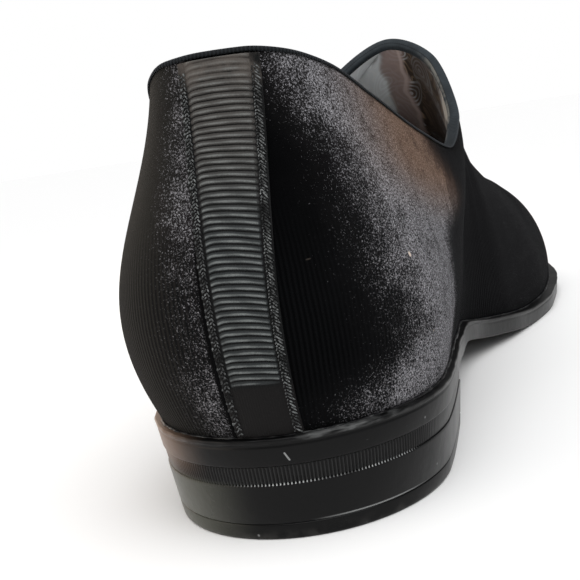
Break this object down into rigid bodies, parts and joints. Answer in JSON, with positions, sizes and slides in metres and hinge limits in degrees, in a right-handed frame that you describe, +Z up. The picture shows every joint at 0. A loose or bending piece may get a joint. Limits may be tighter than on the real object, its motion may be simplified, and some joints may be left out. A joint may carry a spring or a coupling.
{
  "type": "velvet slipper loafer",
  "caption": "Left shoe of a man's velvet slipper loafer: low upper with a bound collar and round tongue, ribbon down the back, rubber sole and stacked heel.",
  "frame": {"origin": "on the floor under the middle of the heel", "axes": "+Z up from the floor, +Y from the heel towards the toe, +X towards the medial (inner) side of the left foot"},
  "size_m": [0.1018, 0.2999, 0.1021],
  "materials": {
    "velvet": "cotton velvet with a short nap, backed by a printed satin lining",
    "binding_cloth": "finely ribbed binding tape",
    "grosgrain": "grosgrain ribbon with cross ribs",
    "lining": "covered insole board",
    "sole_rubber": "glossy moulded rubber"
  },
  "bodies": {
    "root": {"upper": "velvet", "topline_binding": "binding_cloth", "backstay_ribbon": "grosgrain", "insole": "lining", "outsole": "sole_rubber", "heel_rand": "sole_rubber", "heel_block": "sole_rubber", "heel_top_piece": "sole_rubber"}
  },
  "joints": []
}
